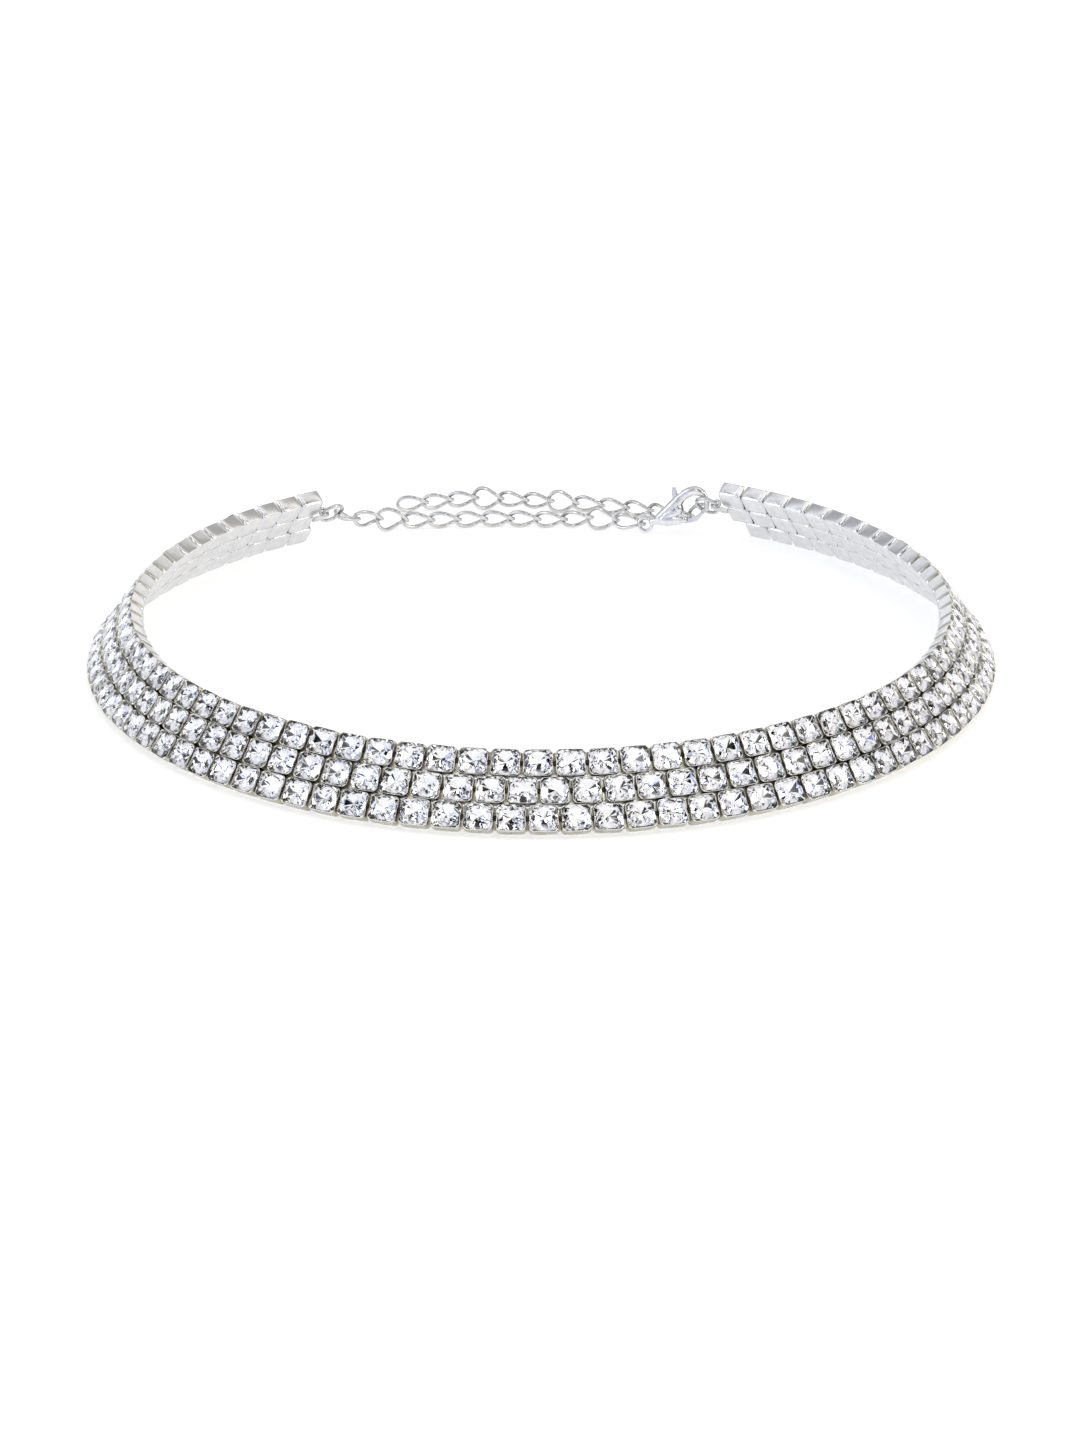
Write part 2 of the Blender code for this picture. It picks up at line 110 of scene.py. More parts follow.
TAIL_ROLL = 65.0

# Wire of the fine links and rings, a little thicker than the model's
WIRE_SHOWN = 0.3
LINK_STEPS = 40
LINK_SIDES = 12
RING_STEPS = 48
RING_SIDES = 14

# Clasp, as in the model
EYE_RADIUS = 1.02
EYE_WIRE = 0.34
SLOT_WIDTH = 0.9
LEVER_THICKNESS = 0.5
PIN_RADIUS = 0.3
PIN_CLEARANCE = 0.15
PIN_LENGTH = 1.7
PIVOT = (5.5, -0.75)
RING_SEAT = (8.6, 1.28)
SLOT_REACH = (2.2, 1.2, 1.4, 4.6)
BOSS_RADIUS = 0.72
BOSS_TURNS = (115.0, 290.0)
BOSS_NOTCH = (10.0, 65.0)
CLASP_EYE = (15.85, 52.15, 1.7)
CLASP_FACING = (-0.26, -0.93, 0.27)
HOOK_TURN = math.radians(-52.0)
CLASP_HOOK = (
    # u, v, radius
    (2.3, 0.3, 0.75),
    (3.3, 0.75, 0.85),
    (4.4, 1.25, 0.95),
    (5.4, 1.75, 0.98),
    (6.4, 2.4, 0.82),
    (7.4, 2.75, 0.78),
    (8.4, 2.84, 0.76),
    (9.25, 2.55, 0.7),
    (9.8, 1.95, 0.58),
    (10.05, 1.2, 0.45),
    (10.05, 0.5, 0.42),
    (9.7, -0.35, 0.36),
)
CLASP_BODY = (
    # u, v, radius
    (1.0, 0.03, 0.45),
    (1.8, 0.02, 0.62),
    (2.8, -0.1, 0.92),
    (3.8, -0.35, 1.0),
    (4.7, -0.6, 0.95),
    (5.5, -0.75, 0.85),
    (6.0, -0.95, 0.7),
)
LEVER_ARM = (
    # u, v, half width
    (6.1, -1.2, 0.42),
    (7.0, -1.3, 0.36),
    (8.0, -1.15, 0.34),
    (9.0, -0.65, 0.27),
)
LEVER_TAB = (
    # u, v, half width
    (5.35, 1.8, 0.3),
    (5.6, 3.2, 0.42),
    (5.78, 4.2, 0.28),
)

# Clasp, finer than the model's
CLASP_WEB = (
    # u, v, radius of the leaf that fills the body towards the tab
    (2.4, 0.15, 0.7),
    (3.4, 0.3, 0.95),
    (4.4, 0.45, 1.05),
    (5.1, 0.65, 1.0),
    (5.5, 0.85, 0.9),
)
CLASP_SQUEEZE = 0.1
CLASP_SIDES = 24
CLASP_END_SHARE = 0.97
EYE_STEPS = 40
EYE_SIDES = 16
MELT_VOXEL = 0.07
RELAX_FACTOR = 0.5
RELAX_STEPS = 20
LEVER_EDGE = 0.09
LEVER_BOSS_POINTS = 19
LEVER_NOTCH_POINTS = 7
LEVER_HOLE_POINTS = 32
LEVER_MERGE = 0.0005

# Cups, finer than the model's. Each is turned, in degrees, and leans at random, by this much at most
CUP_TURN = 1.6
CUP_LEAN = 0.012
CORNER_RADIUS = 0.42
LEAST_CORNER_RADIUS = 0.12
CORNER_STEPS = 4
SIDE_SHARES = (0.2, 0.5, 0.8)
SIDE_BELLY = 0.03
CUP_FAN = 0.004
CUP_WAIST = 0.1
WAIST_HALF_WIDTH = 0.05
WAIST_OUT = 2.0
CUP_LOOPS = (
    # inset, height at the sides, height at the corners, reach of the corners over the stone
    (0.5, 0.02, 0.02, 0.0),
    (0.1, 0.03, 0.03, 0.0),
    (0.0, 0.12, 0.12, 0.0),
    (-0.06, 0.4, 0.4, 0.0),
    (-0.1, 0.8, 0.8, 0.0),
    (-0.115, 1.2, 1.2, 0.0),
    (-0.1, 1.65, 1.65, 0.0),
    (-0.07, 2.0, 2.0, 0.0),
    (-0.07, 2.14, 2.24, 0.02),
    (-0.05, 2.21, 2.36, 0.05),
    (-0.01, 2.23, 2.4, 0.08),
    (0.03, 2.2, 2.36, 0.11),
    (0.05, 2.05, 2.28, 0.12),
    (0.07, 1.5, 1.5, 0.04),
)
BACK_LOOP = 2
# Loops whose walls below the rim carry painted shade, from the first up to the last
PAINTED_SHADE_LOOPS = (3, 8)
RIM_LOOP = 8
# Cups nearer the front than this, in y, get painted shade between them and along their lower side
FRONT_REACH = 20.0
# Metals of a cup. Seam, gap and joint are tones of painted shade, for walls and bars that lie in shadow
CUP_METALS = ("cup", "back", "joint", "painted_seam_shade", "rim", "gap")
CUP, BACK, PAINTED_JOINT_SHADE, PAINTED_SEAM_SHADE, RIM, PAINTED_GAP_SHADE = range(len(CUP_METALS))

# Bar between two cups, and the thin web behind it
BAR_RINGS = (
    # along the bar, radius
    (-0.3, 0.36),
    (-0.15, 0.31),
    (0.0, 0.29),
    (0.15, 0.31),
    (0.3, 0.36),
)
BAR_SIDES = 10
BAR_OUT = 1.85
WEB_OUT = 1.15
WEB_SIZE = (0.3, 2.7, 0.9)

# Stones
STONE_HALF_X = 1.76
STONE_HALF_Y = 1.61
STONE_SQUARENESS = 6.0
GIRDLE_OUT = 2.14
CROWN_RISE = 0.4
TABLE_SHARE = 0.54
STAR_SHARE = 0.77
PAVILION_DROP = 0.55
PAVILION_SHARE = 0.3
# Each stone is tilted and turned at random, in degrees and by this much at most
STONE_TILT = 6.0
STONE_SPIN = 9.0
# Least and most share of the pavilion's depth and of the table's size
DEPTH_RANGE = (0.85, 1.15)
TABLE_RANGE = (0.94, 1.06)
GIRDLE_HALF = 0.03
SEED = 11

# Sharp edges: angle in degrees above which faces don't shade as one
CUP_SHARP = 50.0
WIRE_SHARP = 60.0
CLASP_SHARP = 45.0
LEVER_SHARP = 40.0
TAB_SHARP = 50.0

METALS = {
    # light and dark tone, least and most roughness, strength of the waves
    "cup": ((0.9, 0.9, 0.92), (0.83, 0.83, 0.85), 0.12, 0.2, 0.005),
    "rim": ((0.86, 0.85, 0.79), (0.74, 0.72, 0.64), 0.2, 0.3, 0.03),
    "back": ((0.76, 0.76, 0.77), (0.69, 0.69, 0.7), 0.28, 0.38, 0.01),
    # Painted shade between the cups of a row and along the lower side of cups at the front, and on the
    # webs behind the bars
    "gap": ((0.56, 0.54, 0.47), (0.44, 0.42, 0.36), 0.25, 0.35, 0.02),
    # Painted shade in the narrow gaps between the rows
    "painted_seam_shade": ((0.2, 0.18, 0.15), (0.1, 0.09, 0.08), 0.3, 0.45, 0.05),
    # Painted shade, near black, for the bars between cups, which lie in shadow
    "joint": ((0.06, 0.055, 0.05), (0.03, 0.028, 0.025), 0.4, 0.6, 0.1),
    "wire": ((0.68, 0.68, 0.68), (0.56, 0.56, 0.57), 0.12, 0.2, 0.02),
    "cast": ((0.76, 0.76, 0.77), (0.68, 0.68, 0.7), 0.16, 0.22, 0.005),
}
METAL_SCALE = 900.0
WAVE_SHARE = 2.2
WAVE_DETAIL = 3.0
WAVE_HEIGHT = 0.0001
CRYSTAL_TINT = (0.985, 0.99, 1.0)
CRYSTAL_IOR = 1.56
FOIL_TINTS = ((0.97, 0.97, 0.98), (0.86, 0.86, 0.9))
FOIL_SCALE = 700.0
FOIL_ROUGHNESS = 0.02

# Floor, in metres
FLOOR_SIZE = 3.0
FLOOR_TINTS = ((0.95, 0.95, 0.95), (0.93, 0.93, 0.93))
FLOOR_SCALE = 40.0
FLOOR_ROUGHNESS = 0.9
FLOOR_SPECULAR = 0.1
FLOOR_GLOW = 0.4

# Light that surrounds the necklace
CELL_SCALE = 6.5
CARDS = (
    # share of the cells, level
    (0.0, 0.01),
    (0.4, 0.01),
    (0.43, 0.6),
    (0.48, 0.8),
    (0.51, 1.4),
    (1.0, 1.0),
)
SPARKS = (
    # share of the cells, share of blue
    (0.0, 1.0),
    (0.05, 1.0),
    (0.06, 0.0),
    (1.0, 0.0),
)
PLAIN = (
    # height from straight below to straight above, share of plain light
    (0.0, 1.0),
    (0.56, 1.0),
    (0.66, 0.0),
    (0.9, 0.0),
    (0.965, 0.75),
    (1.0, 1.0),
)
OVERHEAD = (
    # place from front to back, level of the plain light
    (0.0, 1.1),
    (0.35, 1.1),
    (0.62, 1.0),
    (0.7, 0.5),
    (0.78, 0.4),
    (0.86, 0.75),
    (1.0, 1.0),
)
CARDS_FADE = (-0.1, 0.25)
SPARKS_FADE = (-0.2, 0.0)
SPARK_TINT = (0.35, 0.45, 1.0)
WASH_REACH = (-0.7, 0.7)
WASH_TINTS = ((0.92, 0.95, 1.0), (1.0, 0.97, 0.91))
LAMPS = (
    # name, place and size in metres, energy, colour
    ("left", (-0.9, -0.35, 0.6), (0.35, 0.7), 1.6, (0.9, 0.94, 1.0)),
    ("right", (0.9, -0.3, 0.55), (0.35, 0.7), 1.6, (1.0, 0.95, 0.87)),
    ("front_left", (-0.35, -1.0, 0.75), (0.16, 0.4), 0.7, (1.0, 1.0, 1.0)),
    ("front_right", (0.4, -0.95, 0.95), (0.16, 0.4), 0.7, (1.0, 1.0, 1.0)),
)

# Camera, fitted to the photograph
CAMERA_TARGET = (-0.15, -42.6, 8.07)
CAMERA_DISTANCE = 451.06
CAMERA_ELEVATION = math.radians(21.97)
CAMERA_LENS = 89.85
CAMERA_SENSOR = 36.0
CAMERA_CLIP = (0.01, 20.0)


def placed(x, y, z, place):
    """Matrix with three axes and a place."""
    matrix = Matrix((x, y, z)).transposed().to_4x4()
    matrix.translation = place
    return matrix


def around(count):
    """Evenly spread angles of a full turn."""
    return [2 * math.pi * k / count for k in range(count)]


def band_height():
    """Height of the band's inner top edge above the surface that the band rests on."""
    slope = len(ROWS) * CUP_HEIGHT + (len(ROWS) - 1) * ROW_GAP
    return slope * math.cos(FLARE)


def row_down(course):
    """Distance down the band's slope from its top edge to the top of a row."""
    return course * (CUP_HEIGHT + ROW_GAP)


def band_matrix(azimuth, down):
    """Place on the band's inner face: x along the row, y up its slope and z out of its face."""
    azimuth = math.radians(azimuth)
    outward = Vector((math.cos(azimuth), math.sin(azimuth), 0.0))
    along = Vector((-math.sin(azimuth), math.cos(azimuth), 0.0))
    upward = Vector((0.0, 0.0, 1.0))
    rise = upward * math.cos(FLARE) - outward * math.sin(FLARE)
    out = outward * math.cos(FLARE) + upward * math.sin(FLARE)
    place = outward * NECK_RADIUS + upward * band_height() - rise * down
    return placed(along, rise, out, place)


def cup_places(course, first, last):
    """Places of a row's cups, each at the middle of its cup's back, and of the joints between them."""
    down = row_down(course)
    radius = NECK_RADIUS + down * math.sin(FLARE)
    count = round(math.radians(last - first) * radius / (CUP_WIDTH + CUP_GAP))
    step = (last - first) / count
    middle = Matrix.Translation((0.0, -CUP_HEIGHT / 2, 0.0))
    places = [band_matrix(first + (k + 0.5) * step, down) @ middle for k in range(count)]
    joints = [band_matrix(first + k * step, down) @ middle for k in range(1, count)]
    return places, joints


def new_material(name):
    """Material with its Principled shader and its node tree."""
    made = bpy.data.materials.new(name)
    made.use_nodes = True
    tree = made.node_tree
    return made, tree, tree.nodes["Principled BSDF"]


def noise(tree, scale, detail=2.0):
    """Noise over the object's own coordinates."""
    place = tree.nodes.new("ShaderNodeTexCoord")
    made = tree.nodes.new("ShaderNodeTexNoise")
    made.inputs["Scale"].default_value = scale
    made.inputs["Detail"].default_value = detail
    tree.links.new(place.outputs["Object"], made.inputs["Vector"])
    return made


def ramp(tree, source, low, high, from_low=0.35, from_high=0.65):
    """Number that follows a source between two limits."""
    made = tree.nodes.new("ShaderNodeMapRange")
    made.inputs["From Min"].default_value = from_low
    made.inputs["From Max"].default_value = from_high
    made.inputs["To Min"].default_value = low
    made.inputs["To Max"].default_value = high
    tree.links.new(source, made.inputs["Value"])
    return made.outputs["Result"]


def tint(tree, source, first, second):
    """Colour between two, by a number."""
    made = tree.nodes.new("ShaderNodeMix")
    made.data_type = "RGBA"
    made.inputs["A"].default_value = (*first, 1.0)
    made.inputs["B"].default_value = (*second, 1.0)
    tree.links.new(source, made.inputs["Factor"])
    return made.outputs["Result"]


def levels(tree, source, stops):
    """Grey level that follows a source through a table of positions, from 0 to 1, and levels."""
    made = tree.nodes.new("ShaderNodeValToRGB")
    elements = made.color_ramp.elements
    for element, (_, level) in ((elements[0], stops[0]), (elements[-1], stops[-1])):
        element.color = (level, level, level, 1.0)
    for position, level in stops[1:-1]:
        elements.new(position).color = (level, level, level, 1.0)
    tree.links.new(source, made.inputs["Fac"])
    return made.outputs["Color"]


def silver(name, light, dark, glossy, rough, strength):
    """Silver plate, whose colour and gloss vary a little, with fine waves in its surface."""
    made, tree, shader = new_material(name)
    cloud = noise(tree, METAL_SCALE)
    tree.links.new(tint(tree, ramp(tree, cloud.outputs["Fac"], 0.0, 1.0), light, dark),
                   shader.inputs["Base Color"])
    tree.links.new(ramp(tree, cloud.outputs["Fac"], glossy, rough), shader.inputs["Roughness"])
    shader.inputs["Metallic"].default_value = 1.0
    waves = noise(tree, METAL_SCALE * WAVE_SHARE, WAVE_DETAIL)
    relief = tree.nodes.new("ShaderNodeBump")
    relief.inputs["Strength"].default_value = strength
    relief.inputs["Distance"].default_value = WAVE_HEIGHT
    tree.links.new(waves.outputs["Fac"], relief.inputs["Height"])
    tree.links.new(relief.outputs["Normal"], shader.inputs["Normal"])
    return made


def crystal():
    """Clear cut crystal."""
    made, _, shader = new_material("crystal")
    shader.inputs["Base Color"].default_value = (*CRYSTAL_TINT, 1.0)
    shader.inputs["Transmission Weight"].default_value = 1.0
    shader.inputs["IOR"].default_value = CRYSTAL_IOR
    shader.inputs["Roughness"].default_value = 0.0
    return made


def foil():
    """Mirror foil behind a stone, a little uneven in tone."""
    made, tree, shader = new_material("foil")
    cloud = noise(tree, FOIL_SCALE)
    tree.links.new(tint(tree, ramp(tree, cloud.outputs["Fac"], 0.0, 1.0), *FOIL_TINTS),
                   shader.inputs["Base Color"])
    shader.inputs["Metallic"].default_value = 1.0
    shader.inputs["Roughness"].default_value = FOIL_ROUGHNESS
    return made


def new_object(name, data):
    """Object in the scene with its data."""
    made = bpy.data.objects.new(name, data)
    bpy.context.scene.collection.objects.link(made)
    return made


def mesh_object(name, mesh, materials=()):
    """Object in the scene from a bmesh, which is used up."""
    data = bpy.data.meshes.new(name)
    mesh.to_mesh(data)
    mesh.free()
    for item in materials:
        data.materials.append(item)
    return new_object(name, data)


def add_piece(name, mesh, materials, nodes=(), body="necklace"):
    """Piece from a bmesh in millimetres, which rides on a body and stands for CAD nodes."""
    bmesh.ops.scale(mesh, vec=(MM, MM, MM), verts=mesh.verts)
    made = mesh_object(name, mesh, materials)
    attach(made, body)
    if nodes:
        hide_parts(*nodes)
    return made


def smooth(piece, angle):
    """Smooth shading, with sharp edges where faces meet at more than an angle in degrees."""
    piece.data.shade_smooth()
    piece.data.set_sharp_from_angle(angle=math.radians(angle))


def cup_outline(inset):
    """Points around a cup's rounded square section, with how near each is to a corner, 0 to 1."""
    half_x = CUP_WIDTH / 2 - inset
    half_y = CUP_HEIGHT / 2 - inset
    radius = max(CORNER_RADIUS - inset, LEAST_CORNER_RADIUS)
    arcs = []
    for corner, (sign_x, sign_y) in enumerate(((1, 1), (-1, 1), (-1, -1), (1, -1))):
        centre = (sign_x * (half_x - radius), sign_y * (half_y - radius))
        arc = []
        for k in range(CORNER_STEPS + 1):
            turn = math.radians(90.0 * corner + 90.0 * k / CORNER_STEPS)
            near = 1.0 - (2.0 * k / CORNER_STEPS - 1.0) ** 2
            arc.append((centre[0] + radius * math.cos(turn), centre[1] + radius * math.sin(turn), near))
        arcs.append(arc)
    points = []
    for arc, following in zip(arcs, arcs[1:] + arcs[:1]):
        points += arc
        x, y, _ = arc[-1]
        next_x, next_y, _ = following[0]
        span = math.hypot(next_x - x, next_y - y)
        outward = ((next_y - y) / span, (x - next_x) / span)
        for share in SIDE_SHARES:
            belly = SIDE_BELLY * 4.0 * share * (1.0 - share)
            points.append((x + (next_x - x) * share + outward[0] * belly,
                           y + (next_y - y) * share + outward[1] * belly, 0.0))
    return points


def add_cup(mesh, matrix, lean, neighbours, outlines):
    """Stamped cup with rounded edges, a scalloped rim and four corners bent over its stone.

    Walls below the rim are coloured with painted shade: dark between the rows all around, and everywhere
    but at the back a greyer shade also between the cups of a row and along the lower side. The neighbours
    tell whether rows lie above and below the cup."""
    loops = []
    for (_, side_out, corner_out, reach), outline in zip(CUP_LOOPS, outlines):
        loop = []
        for x, y, near in outline:
            out = side_out + (corner_out - side_out) * near
            pull = 1.0 - near * reach / math.hypot(x, y)
            fan = math.copysign(CUP_FAN * out, x)
            if abs(y) < WAIST_HALF_WIDTH and out > WAIST_OUT:
                fan -= math.copysign(CUP_WAIST, x)
            place = Vector((x * pull + fan + lean[0] * out, y * pull + lean[1] * out, out))
            loop.append(mesh.verts.new(matrix @ place))
        loops.append(loop)
    mesh.faces.new(list(reversed(loops[0]))).material_index = BACK
    outline = outlines[0]
    count = len(outline)
    for number, (low, high) in enumerate(zip(loops, loops[1:])):
        for k in range(count):
            after = (k + 1) % count
            face = mesh.faces.new((low[k], low[after], high[after], high[k]))
            face.material_index = BACK if number < BACK_LOOP else RIM if number >= RIM_LOOP else CUP
            x = outline[k][0] + outline[after][0]
            y = outline[k][1] + outline[after][1]
            sideways = abs(x) * CUP_HEIGHT > abs(y) * CUP_WIDTH
            if PAINTED_SHADE_LOOPS[0] <= number < PAINTED_SHADE_LOOPS[1]:
                # Painted shade between the rows
                if not sideways and neighbours[0 if y > 0 else 1]:
                    face.material_index = PAINTED_SEAM_SHADE
                # Painted shade between the cups and along the lower side, for cups at the front
                elif (sideways or y < 0) and matrix.translation.y < FRONT_REACH:
                    face.material_index = PAINTED_GAP_SHADE


def add_bar(mesh, matrix):
    """Small soldered bar that joins two cups, along x."""
    rings = []
    for x, radius in BAR_RINGS:
        ring = []
        for turn in around(BAR_SIDES):
            point = Vector((x, radius * math.cos(turn), BAR_OUT + radius * math.sin(turn)))
            ring.append(mesh.verts.new(matrix @ point))
        rings.append(ring)
    # The bar is coloured near black with painted shade
    for low, high in zip(rings, rings[1:]):
        for k in range(BAR_SIDES):
            after = (k + 1) % BAR_SIDES
            mesh.faces.new((low[k], low[after], high[after], high[k])).material_index = PAINTED_JOINT_SHADE


def add_web(mesh, matrix):
    """Thin strip behind the bar, which closes the gap between two cups."""
    place = matrix @ Matrix.Translation((0.0, 0.0, WEB_OUT)) @ Matrix.Diagonal((*WEB_SIZE, 1.0))
    # The web is coloured with the gap's painted shade
    for vert in bmesh.ops.create_cube(mesh, size=1.0, matrix=place)["verts"]:
        for face in vert.link_faces:
            face.material_index = PAINTED_GAP_SHADE


def squarish(turn):
    """Distance from the middle of a rounded square of half-width 1, in a direction."""
    c, s = abs(math.cos(turn)), abs(math.sin(turn))
    return (c ** STONE_SQUARENESS + s ** STONE_SQUARENESS) ** (-1.0 / STONE_SQUARENESS)


def add_stone(mesh, matrix, chance):
    """Brilliant-cut stone: crown and girdle of crystal, with foil on its pavilion."""
    spin = math.radians(chance.uniform(-STONE_SPIN, STONE_SPIN))
    tilt = (Matrix.Rotation(math.radians(chance.uniform(-STONE_TILT, STONE_TILT)), 4, "X")
            @ Matrix.Rotation(math.radians(chance.uniform(-STONE_TILT, STONE_TILT)), 4, "Y"))
    place = matrix @ Matrix.Translation((0.0, 0.0, GIRDLE_OUT)) @ tilt
    depth = PAVILION_DROP * chance.uniform(*DEPTH_RANGE)
    table_share = TABLE_SHARE * chance.uniform(*TABLE_RANGE)
    half = math.pi / 8

    def point(share, turn, out):
        size = share * (1.0 + (squarish(turn + spin) - 1.0) * share)
        return mesh.verts.new(place @ Vector((STONE_HALF_X * size * math.cos(turn + spin),
                                              STONE_HALF_Y * size * math.sin(turn + spin), out)))

    star_out = CROWN_RISE * (1.0 - STAR_SHARE * math.cos(half)) / (1.0 - table_share)
    deep_out = -depth * (1.0 - PAVILION_SHARE * math.cos(half))
    table = [point(table_share, half * (2 * k + 1), CROWN_RISE) for k in range(8)]
    star = [point(STAR_SHARE, half * 2 * k, star_out) for k in range(8)]
    upper = [point(1.0, half * k, GIRDLE_HALF) for k in range(16)]
    lower = [point(1.0, half * k, -GIRDLE_HALF) for k in range(16)]
    deep = [point(PAVILION_SHARE, half * 2 * k, deep_out) for k in range(8)]
    culet = mesh.verts.new(place @ Vector((0.0, 0.0, -depth)))
    mesh.faces.new(table)
    for k in range(8):
        after = (k + 1) % 8
        girdle = upper[2 * k + 1]
        mesh.faces.new((table[k], star[k], girdle))
        mesh.faces.new((table[k], girdle, star[after]))
        mesh.faces.new((table[k - 1], star[k], table[k]))
        mesh.faces.new((star[k], upper[2 * k], girdle))
        mesh.faces.new((star[k], upper[2 * k - 1], upper[2 * k]))
        for face in ((culet, deep[after], lower[2 * k + 1], deep[k]),
                     (deep[k], lower[2 * k + 1], lower[2 * k]),
                     (deep[k], lower[2 * k], lower[2 * k - 1])):
            mesh.faces.new(face).material_index = 1
    for k in range(16):
        after = (k + 1) % 16
        mesh.faces.new((upper[k], lower[k], lower[after], upper[after]))


def make_row(name, course, first, last, metals, stones):
    """Cups and stones of one row, as two pieces."""
    chance = random.Random(SEED + course)
    places, joints = cup_places(course, first, last)
    outlines = [cup_outline(row[0]) for row in CUP_LOOPS]
    cups, gems = bmesh.new(), bmesh.new()
    for place in places:
        turn = Matrix.Rotation(math.radians(chance.uniform(-CUP_TURN, CUP_TURN)), 4, "Z")
        lean = (chance.uniform(-CUP_LEAN, CUP_LEAN), chance.uniform(-CUP_LEAN, CUP_LEAN))
        add_cup(cups, place @ turn, lean, (course > 0, course < len(ROWS) - 1), outlines)
        add_stone(gems, place @ turn, chance)
    for joint in joints:
        add_bar(cups, joint)
        add_web(cups, joint)
    bmesh.ops.recalc_face_normals(gems, faces=gems.faces)
    bmesh.ops.recalc_face_normals(cups, faces=cups.faces)
    piece = add_piece("cups_" + name, cups, metals, ["row_" + name])
    smooth(piece, CUP_SHARP)
    add_piece("stones_" + name, gems, stones)


def sweep(mesh, points, radii, closed, sides, flat=None):
    """Round tube through points. Flat is a direction in which the section is squeezed, and by how much."""
    count = len(points)
    leads = []
    for k in range(count):
        before = points[k - 1] if closed or k > 0 else points[0]
        after = points[(k + 1) % count] if closed or k < count - 1 else points[-1]
        leads.append((after - before).normalized())
    normal = leads[0].orthogonal().normalized()
    frames = []
    for k in range(count):
        normal = (normal - leads[k] * normal.dot(leads[k])).normalized()
        frames.append(normal.copy())
    twist = 0.0
    if closed:
        ended = (frames[-1] - leads[0] * frames[-1].dot(leads[0])).normalized()
        twist = math.atan2(leads[0].dot(ended.cross(frames[0])), ended.dot(frames[0]))
    rings = []
    for k in range(count):
        side = leads[k].cross(frames[k])
        extra = twist * k / count
        ring = []
        for turn in around(sides):
            turn += extra
            offset = (frames[k] * math.cos(turn) + side * math.sin(turn)) * radii[k]
            if flat:
                offset -= flat[0] * offset.dot(flat[0]) * flat[1]
            ring.append(mesh.verts.new(points[k] + offset))
        rings.append(ring)
    pairs = list(zip(rings, rings[1:]))
    if closed:
        pairs.append((rings[-1], rings[0]))
    for low, high in pairs:
        for s in range(sides):
            after = (s + 1) % sides
            mesh.faces.new((low[s], low[after], high[after], high[s]))
    if not closed:
        mesh.faces.new(list(reversed(rings[0])))
        mesh.faces.new(rings[-1])


def end_matrix(azimuth, away):
    """Place at a row's end, at the top of the band, with x leading away from the band."""
    return band_matrix(azimuth, 0.0) @ Matrix.Diagonal((away, 1.0, 1.0, 1.0))


def ring_matrix(azimuth, away, turn):
    """Place of a jump ring that hangs in an ear: x leads from the ear to the ring's far side."""
    end = end_matrix(azimuth, away)
    hole = end @ Vector((PLATE_OVERHANG + EAR_LENGTH / 2, -(CUP_HEIGHT + ROW_GAP / 2),
                         -(PLATE_GAP + PLATE_THICKNESS) + EAR_DEPTH / 2))
    along = end.to_3x3().col[0]
    fall = -end.to_3x3().col[1]
    lead = along * math.cos(turn) + fall * math.sin(turn)
    side = fall * math.cos(turn) - along * math.sin(turn)
    return placed(lead, side, lead.cross(side), hole + lead * RING_RADIUS)


def hooked_place(matrix, radius, wire, target):
    """Where a chain that leads to a target takes hold inside a ring, next to the ring's wire."""
    local = matrix.inverted() @ target
    lead = Vector((local.x, local.y, 0.0)).normalized()
    return matrix @ (lead * (radius - wire - LINK_GAP / 2))


def smooth_route(points, steps=24):
    """Close points on a smooth curve through the route's own points."""
    ends = [2 * points[0] - points[1], *points, 2 * points[-1] - points[-2]]
    line = []
    for k in range(1, len(ends) - 2):
        before, start, stop, after = ends[k - 1:k + 3]
        for step in range(steps):
            t = step / steps
            line.append(0.5 * (2 * start + (stop - before) * t
                               + (2 * before - 5 * start + 4 * stop - after) * t ** 2
                               + (3 * start - before - 3 * stop + after) * t ** 3))
    line.append(points[-1])
    return line


def evenly(line, count):
    """Places that divide a line into as many equal lengths."""
    lengths = [0.0]
    for first, second in zip(line, line[1:]):
        lengths.append(lengths[-1] + (second - first).length)
    places = []
    k = 0
    for number in range(count + 1):
        want = lengths[-1] * number / count
        while k < len(line) - 2 and lengths[k + 1] < want:
            k += 1
        part = (want - lengths[k]) / (lengths[k + 1] - lengths[k])
        places.append(line[k].lerp(line[k + 1], part))
    return places


def link_matrix(start, stop):
    """Place of a link between two joints: x along the chain, y level and z upwards."""
    lead = (stop - start).normalized()
    level = Vector((0.0, 0.0, 1.0)).cross(lead).normalized()
    return placed(lead, level, lead.cross(level), (start + stop) / 2)


def roll_of(matrix, direction):
    """Angle about the chain, in degrees, of a direction across it."""
    local = matrix.to_3x3().inverted() @ direction
    return math.degrees(math.atan2(local.z, local.y))


def nearest_half_turn(angle, target):
    """The angle, or the same line the other way round, that is nearest to a target."""
    return angle + 180.0 * round((target - angle) / 180.0)


def link_rolls(count, middle, first, last):
    """Near and far roll of each link. Ends that meet stand at right angles, so that they interlock."""
    rolls = []
    near = first
    for number in range(1, count + 1):
        if number == 1:
            far = nearest_half_turn(middle + 45.0, near)
        elif number == count and last is not None:
            far = nearest_half_turn(last, near)
        else:
            far = 2 * middle - near
        rolls.append((near, far))
        near = (far + 90.0) % 180.0
    return rolls


def link_points(span, half_width, near, far):
    """Oval wire link along x, whose width turns from its near roll to its far roll."""
    length = span / 2 + LINK_WIRE + LINK_GAP / 2
    points = []
    for k in range(LINK_STEPS):
        turn = 2 * math.pi * (k + 0.5) / LINK_STEPS
        x = length * math.cos(turn)
        width = half_width * math.sin(turn)
        roll = math.radians((near + far) / 2 + (far - near) / 2 * math.cos(turn))
        points.append(Vector((x, width * math.cos(roll), width * math.sin(roll))))
    return points


def wire_piece(name, points, metal, sides):
    """Closed wire through points, in place of a node."""
    mesh = bmesh.new()
    sweep(mesh, points, [WIRE_SHOWN] * len(points), True, sides)
    piece = add_piece("wire_" + name, mesh, [metal], [name])
    smooth(piece, WIRE_SHARP)


